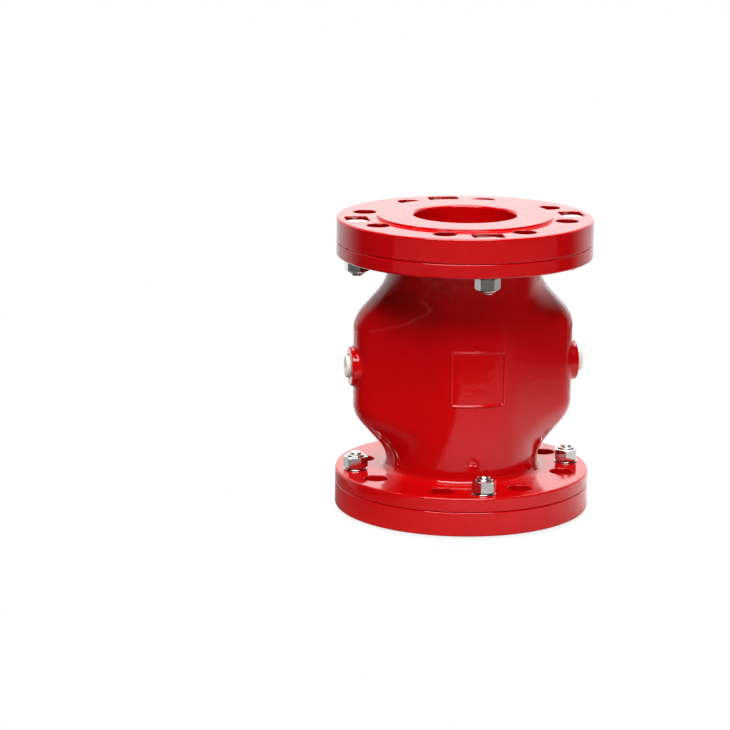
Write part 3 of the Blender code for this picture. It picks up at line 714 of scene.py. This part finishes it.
def hex_bolt():
    """A hex bolt: chamfered head above height 0, shank with a helical thread below it.

    The thread's radius falls from the crest by its depth times a triangle wave of
    height / pitch + angle / one turn.
    """
    angle, rows = hex_rows(HEAD_HEIGHT, False)
    under = THREAD_RADIUS + 0.0004
    head = [(0 * angle + under, 0 * angle), *rows, (0 * angle + 0.006, 0 * angle + HEAD_HEIGHT)]
    head.insert(0, (0 * angle + THREAD_RADIUS, 0 * angle - 0.0006))
    head.insert(0, (0 * angle + THREAD_RADIUS, 0 * angle + THREAD_LENGTH - BOLT_LENGTH))
    crown = grid(polar_rows(angle, head), caps=True)
    turn = around(HOLE_SIDES)
    height = np.linspace(-BOLT_LENGTH, THREAD_LENGTH - BOLT_LENGTH + 0.0002, 100)
    phase = np.mod(height[:, None] / THREAD_PITCH - turn[None] / (2 * math.pi), 1.0)
    wave = np.clip(np.abs(2 * phase - 1) * 1.35 - 0.15, 0, 1)
    point = np.clip(1 - (height[:, None] + BOLT_LENGTH) / 0.0012, 0, 1)
    radius = np.minimum(THREAD_RADIUS - THREAD_DEPTH * wave, THREAD_RADIUS - 0.0009 * point)
    thread = np.stack([radius * np.cos(turn), radius * np.sin(turn), height[:, None] + 0 * turn], axis=-1)
    return gathered([crown, grid(thread, caps=True)])


def hex_nut():
    """A lock nut, chamfered at both faces, with a rolled-in collar that ends in a quarter circle.

    Its bearing face is at height 0, and its mouths are countersunk.
    """
    angle, rows = hex_rows(NUT_HEX_HEIGHT, True)
    bore = THREAD_RADIUS + 0.00012
    mouth = bore + 0.0006
    top = NUT_HEX_HEIGHT + NUT_COLLAR_HEIGHT
    roll = 0.0009
    collar = [(NUT_COLLAR_RADIUS, NUT_HEX_HEIGHT)]
    collar += [(NUT_COLLAR_RADIUS - roll * (1 - math.cos(t)), top - roll * (1 - math.sin(t)))
               for t in np.linspace(0, math.pi / 2, 5)]
    collar += [(mouth, top), (bore, top - 0.0006), (bore, 0.0006), (mouth, 0.0)]
    rows += [(0 * angle + radius, 0 * angle + height) for radius, height in collar]
    return grid(polar_rows(angle, rows), wrap_rows=True)


def washer():
    """A stamped flat washer with one rounded and one sharp rim."""
    inner = THREAD_RADIUS + GAP
    return turned(rounded([(inner, 0, 0.0002), (WASHER_RADIUS, 0, 0.0002),
                           (WASHER_RADIUS, WASHER_THICKNESS, 0.0006), (inner, WASHER_THICKNESS, 0.0004)]),
                  SMALL_SIDES)


def port_plug(head):
    """A push-in plug with a dished head of a given height and a ribbed stem."""
    stem = PORT_RADIUS - GAP
    ribs = []
    for number in range(3):
        level = -PLUG_STEM_LENGTH + 0.0022 + 0.0022 * number
        ribs += [(stem - 0.0004, level - 0.0008, 0.0002), (stem, level, 0.0002), (stem - 0.0004, level + 0.0004, 0.0002)]
    section = rounded([(0.0015, -PLUG_STEM_LENGTH, 0), (stem - 0.0008, -PLUG_STEM_LENGTH, 0.0006), *ribs,
                       (stem - 0.0004, 0, 0), (PLUG_FLANGE_RADIUS, 0, 0.0005),
                       (PLUG_FLANGE_RADIUS, head, 0.0009), (PLUG_RECESS_RADIUS, head, 0.0005),
                       (PLUG_RECESS_RADIUS, head - PLUG_RECESS_DEPTH, 0.0005),
                       (0.0015, head - PLUG_RECESS_DEPTH, 0)])
    core = rounded([(0.00001, -PLUG_STEM_LENGTH, 0), (0.0015, -PLUG_STEM_LENGTH, 0),
                    (0.0015, head - PLUG_RECESS_DEPTH, 0), (0.00001, head - PLUG_RECESS_DEPTH, 0)])
    return gathered([turned(section, SMALL_SIDES), turned(core, SMALL_SIDES)])


def dress_casting(paint):
    """Belly, flanges, bosses and label frame, all one casting under one coat."""
    belly = mesh_object("casting_belly", casting_belly())
    rooms = [lipped_cutter(circle(BOSS_ROOM), WING_CENTRE, WING_REACH + OVERCUT, 0, 0)]
    aside = [Matrix.Translation((0, 0, BELLY_MIDDLE)) @ Matrix.Rotation(sign * math.pi / 2, 4, "Y")
             for sign in (1, -1)]
    carved(belly, [placed(room, matrix) for room in rooms for matrix in aside])
    finished(belly, paint, "body_paint", "housing", "valve_body")
    for end in ("top", "bottom"):
        finished(flange_plate(end), paint, "body_paint", "housing")
    for side, sign in (("right", 1), ("left", -1)):
        finished(mesh_object(f"{side}_air_boss", air_boss(sign)), paint, "body_paint", "housing")
    finished(mesh_object("label_frame", label_frame()), paint, "body_paint", "housing")


def dress_sleeve(rubber):
    """Two collars that stay, and four quarters of the sleeve's straight tube that stand for its pinching walls.

    Each quarter is half a turn, front or rear, of half the sleeve's length, above or below the middle.
    """
    for end in ("top", "bottom"):
        collar = mesh_object(f"sleeve_{end}_end", placed(sleeve_collar(), standing(end, BODY_HALF)))
        finished(collar, rubber, "sleeve_rubber", "housing", f"sleeve_{end}_collar")
    for wall, front in (("front", True), ("rear", False)):
        for level, upper in (("upper", True), ("lower", False)):
            quarter = mesh_object(f"sleeve_{wall}_{level}", *sleeve_quarter(front, upper))
            weld(quarter)
            finished(quarter, rubber, "sleeve_rubber", None, f"sleeve_{wall}_wall")
            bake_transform(quarter)


def weld(piece):
    """Join the rows that neighbouring faces of a piece share, and turn its faces outwards."""
    bm = bmesh.new()
    bm.from_mesh(piece.data)
    bmesh.ops.remove_doubles(bm, verts=bm.verts, dist=0.000001)
    bmesh.ops.recalc_face_normals(bm, faces=bm.faces)
    bm.to_mesh(piece.data)
    bm.free()


def dress_fasteners(steel):
    """Bolts, washers and nuts at both ends."""
    bolt, nut, ring = hex_bolt(), hex_nut(), washer()
    for end in ("top", "bottom"):
        other = "bottom" if end == "top" else "top"
        for side, degrees in CLAMP_PLACES.items():
            angle = math.radians(degrees)
            spot = (CLAMP_RADIUS * math.cos(angle), CLAMP_RADIUS * math.sin(angle), 0)
            level = 1 if end == "top" else -1
            upright = Matrix.Rotation(0.0 if end == "top" else math.pi, 4, "X")
            hanging = Matrix.Rotation(math.pi if end == "top" else 0.0, 4, "X")
            turn = angle + math.radians(NUT_TURNS[end][side])
            stack = (
                ("bolt", bolt, COVER_SEAT + POCKET_FLOOR + GAP, upright, angle),
                ("washer", ring, FLANGE_BACK - GAP, hanging, angle),
                ("nut", nut, FLANGE_BACK - WASHER_THICKNESS - 2 * GAP, hanging, turn))
            for kind, form, height, tilt, twist in stack:
                place = (Matrix.Translation((*spot[:2], MIDDLE + level * height))
                         @ Matrix.Rotation(twist, 4, "Z") @ tilt)
                piece = mesh_object(f"{end}_{side}_{kind}", placed(form, place))
                finished(piece, steel, "bright_steel", "housing", f"{end}_{kind}_{side}")


def dress_plugs(plastic):
    """A plug in each air port."""
    for side, sign in (("right", 1), ("left", -1)):
        place = (Matrix.Translation((sign * (SPOT_FACE + GAP), 0, BELLY_MIDDLE))
                 @ Matrix.Rotation(sign * math.pi / 2, 4, "Y"))
        piece = mesh_object(f"{side}_plug", placed(port_plug(PLUG_HEADS[side]), place))
        finished(piece, plastic, "cap_plastic", f"{side}_plug", f"{side}_port_plug")


def make_camera():
    """The photograph's viewpoint, turned about Z so that it sees the valve as it stands there."""
    turn = Matrix.Rotation(CAMERA_TURN, 4, "Z")
    level = CAMERA_DISTANCE * math.cos(CAMERA_ELEVATION)
    spot = Vector((CAMERA_ASIDE, -level, CAMERA_AIM_HEIGHT + CAMERA_DISTANCE * math.sin(CAMERA_ELEVATION)))
    ahead = Vector((0, math.cos(CAMERA_ELEVATION), -math.sin(CAMERA_ELEVATION)))
    right = Vector((1, 0, 0))
    up = right.cross(ahead)
    rolled_right = right * math.cos(CAMERA_ROLL) + up * math.sin(CAMERA_ROLL)
    rolled_up = up * math.cos(CAMERA_ROLL) - right * math.sin(CAMERA_ROLL)
    facing = Matrix((rolled_right, rolled_up, -ahead)).transposed().to_4x4()
    lens = bpy.data.cameras.new("camera")
    lens.lens = CAMERA_LENS_MM
    lens.sensor_width = SENSOR_MM
    camera = bpy.data.objects.new("camera", lens)
    camera.matrix_world = turn @ Matrix.Translation(spot) @ facing
    bpy.context.scene.collection.objects.link(camera)
    bpy.context.scene.camera = camera


def lamp(name, spot, aim, width, height, power):
    """A rectangular soft lamp at a spot, facing a point."""
    light = bpy.data.lights.new(name, "AREA")
    light.shape = "RECTANGLE"
    light.size = width
    light.size_y = height
    light.energy = power
    made = bpy.data.objects.new(name, light)
    made.location = spot
    made.rotation_euler = (Vector(aim) - Vector(spot)).to_track_quat("-Z", "Y").to_euler()
    bpy.context.scene.collection.objects.link(made)


def make_studio():
    """White table and background, painted light and shade on the table for gloss, a dark room in front of the
    table, and soft lamps above and beside.
    """
    scene = bpy.context.scene
    scene.view_settings.view_transform = "Standard"
    world = bpy.data.worlds.new("studio")
    scene.world = world
    world.use_nodes = True
    tree = world.node_tree
    tree.nodes.clear()
    output = add(tree, "ShaderNodeOutputWorld")
    way = add(tree, "ShaderNodeTexCoord").outputs["Generated"]
    behind = add(tree, "ShaderNodeVectorMath", {0: way, 1: (0.174, 0.985, 0.0)}, operation="DOT_PRODUCT")
    upward = add(tree, "ShaderNodeSeparateXYZ", {"Vector": way})
    wider = add(tree, "ShaderNodeMapRange", {"Value": upward.outputs["Z"], "From Min": -0.05, "From Max": 0.25,
                                             "To Min": 0.0, "To Max": 0.10})
    span = add(tree, "ShaderNodeMath", {0: behind.outputs["Value"], 1: wider.outputs["Result"]}, operation="ADD")
    lobe = add(tree, "ShaderNodeMapRange", {"Value": span.outputs[0], "From Min": 0.24,
                                            "From Max": 0.78, "To Min": 0.03, "To Max": 1.0},
               interpolation_type="SMOOTHSTEP")
    path = add(tree, "ShaderNodeLightPath")
    mirrored = add(tree, "ShaderNodeBackground", {"Color": (1, 1, 1, 1), "Strength": lobe.outputs["Result"]})
    ambient = add(tree, "ShaderNodeBackground", {"Color": (1, 1, 1, 1), "Strength": 0.10})
    seen = add(tree, "ShaderNodeBackground", {"Color": (1, 1, 1, 1), "Strength": 1.0})
    felt = add(tree, "ShaderNodeMixShader", {0: path.outputs["Is Glossy Ray"], 1: ambient.outputs[0],
                                             2: mirrored.outputs[0]})
    whole = add(tree, "ShaderNodeMixShader", {0: path.outputs["Is Camera Ray"], 1: felt.outputs[0],
                                              2: seen.outputs[0]})
    tree.links.new(whole.outputs[0], output.inputs["Surface"])

    lamp("key", (-0.31, -1.05, 1.80), (0, 0, 0.1), 1.8, 0.8, 52.0)
    lamp("table_light", (0.20, 0.75, 1.4), (0.0, 0.45, 0.0), 1.2, 1.0, 22.0)
    lamp("back_window", (0.75, 2.07, 0.62), (0, 0, 0.2), 2.4, 0.8, 4.2)

    # To glossy rays the table shows painted light and shade: a lit zone behind the valve, and painted dusk in
    # front of it that grows darker further off. It also has a painted shade patch at its left.
    material, tree, output, place = new_material("white_table")
    path = add(tree, "ShaderNodeLightPath")
    away = add(tree, "ShaderNodeVectorMath", {0: place}, operation="LENGTH")
    white = add(tree, "ShaderNodeMapRange", {"Value": away.outputs["Value"], "From Min": 0.15, "From Max": 0.45,
                                             "To Min": 0.85, "To Max": 1.0}, interpolation_type="SMOOTHSTEP")
    depth = add(tree, "ShaderNodeVectorMath", {0: place, 1: (0.5, 0.866, 0.0)}, operation="DOT_PRODUCT")
    dusk = add(tree, "ShaderNodeMapRange", {"Value": depth.outputs["Value"], "From Min": -0.05, "From Max": 0.12,
                                            "To Min": 1.0, "To Max": 0.0}, interpolation_type="SMOOTHSTEP")
    far = add(tree, "ShaderNodeMapRange", {"Value": away.outputs["Value"], "From Min": 0.30, "From Max": 0.64})
    fading = add(tree, "ShaderNodeMix", {"Factor": far.outputs["Result"], "A": colour("B0B0B0"),
                                         "B": colour("505050")}, data_type="RGBA")
    rear = add(tree, "ShaderNodeVectorMath", {0: place, 1: (-0.10, 0.30, 0.0)}, operation="DISTANCE")
    reach = add(tree, "ShaderNodeMapRange", {"Value": rear.outputs["Value"], "From Min": 0.44, "From Max": 0.77})
    lit = add(tree, "ShaderNodeMix", {"Factor": reach.outputs["Result"], "A": colour("F4F4F4"),
                                      "B": colour("585858")}, data_type="RGBA")
    near = add(tree, "ShaderNodeMix", {"Factor": dusk.outputs["Result"], "A": lit.outputs["Result"],
                                       "B": fading.outputs["Result"]}, data_type="RGBA")
    # Painted shade patch on the table at the left of the foot, seen only in gloss.
    aside = add(tree, "ShaderNodeVectorMath", {0: place, 1: (-0.245, -0.01, 0.0)}, operation="DISTANCE")
    shade = add(tree, "ShaderNodeMapRange", {"Value": aside.outputs["Value"], "From Min": 0.10, "From Max": 0.28,
                                             "To Min": 1.0, "To Max": 0.0}, interpolation_type="SMOOTHSTEP")
    painted_light_and_shade = add(tree, "ShaderNodeMix", {"Factor": shade.outputs["Result"], "A": near.outputs["Result"],
                                        "B": colour("505050")}, data_type="RGBA")
    tone = add(tree, "ShaderNodeMix", {"Factor": path.outputs["Is Glossy Ray"], "A": colour("E6E6E6"),
                                       "B": painted_light_and_shade.outputs["Result"]}, data_type="RGBA")
    board = add(tree, "ShaderNodeBsdfDiffuse", {"Color": tone.outputs["Result"]})
    paper = add(tree, "ShaderNodeBsdfDiffuse", {"Color": colour("F8F8F8")})
    glow = add(tree, "ShaderNodeEmission", {"Color": (1, 1, 1, 1), "Strength": 1.0})
    seen = add(tree, "ShaderNodeMixShader", {0: white.outputs["Result"], 1: paper.outputs[0], 2: glow.outputs[0]})
    top = add(tree, "ShaderNodeMixShader", {0: path.outputs["Is Camera Ray"], 1: board.outputs[0],
                                            2: seen.outputs[0]})
    tree.links.new(top.outputs[0], output.inputs["Surface"])
    outline = np.array([(-0.17, -0.10, 0.0), (-0.13, -0.52, 0.0), (0.57, -0.48, 0.0), (0.57, 0.12, 0.0),
                        (0.75, 0.20, 0.0), (0.75, 0.75, 0.0), (-0.72, 0.75, 0.0), (-0.75, 0.25, 0.0),
                        (-0.17, 0.3, 0.0)])
    table = mesh_object("table", (outline, [list(range(len(outline)))]))
    table.data.materials.append(material)

    material, tree, output, place = new_material("grey_bench")
    path = add(tree, "ShaderNodeLightPath")
    cloth = add(tree, "ShaderNodeBsdfDiffuse", {"Color": colour("7A7A7A")})
    glow = add(tree, "ShaderNodeEmission", {"Color": (1, 1, 1, 1), "Strength": 1.0})
    bench_top = add(tree, "ShaderNodeMixShader", {0: path.outputs["Is Camera Ray"], 1: cloth.outputs[0],
                                                  2: glow.outputs[0]})
    tree.links.new(bench_top.outputs[0], output.inputs["Surface"])
    angle = np.radians(np.linspace(-165, -15, 31))
    bench_rows = [np.stack([r * np.cos(angle), r * np.sin(angle), 0 * angle], axis=-1) for r in (1.02, 1.5)]
    bench = mesh_object("bench", grid(np.array(bench_rows), wrap_columns=False))
    bench.data.materials.append(material)


def build():
    """Dress every part of the valve, then set the camera and the studio."""
    dress_casting(stove_enamel("enamel_on_casting", "CE050A", "C40409", 0.00010))
    cover_paint = stove_enamel("enamel_on_turned_iron", "CE050A", "C60409", 0.000004)
    # Darker red for the walls of the covers' holes and pockets: painted shade.
    hole_shade_paint = stove_enamel("enamel_darkened_as_hole_shade", "9A0409", "820308", 0.00001)
    for end in ("top", "bottom"):
        cover = finished(flange_cover(end), cover_paint, "cover_paint", "housing", f"{end}_flange_cover")
        painted_hole_shade(cover, hole_shade_paint)
    dress_sleeve(moulded_rubber("black_rubber"))
    dress_fasteners(bright_stainless("bright_stainless"))
    dress_plugs(moulded_polyethylene("natural_polyethylene"))
    make_camera()
    make_studio()


build()
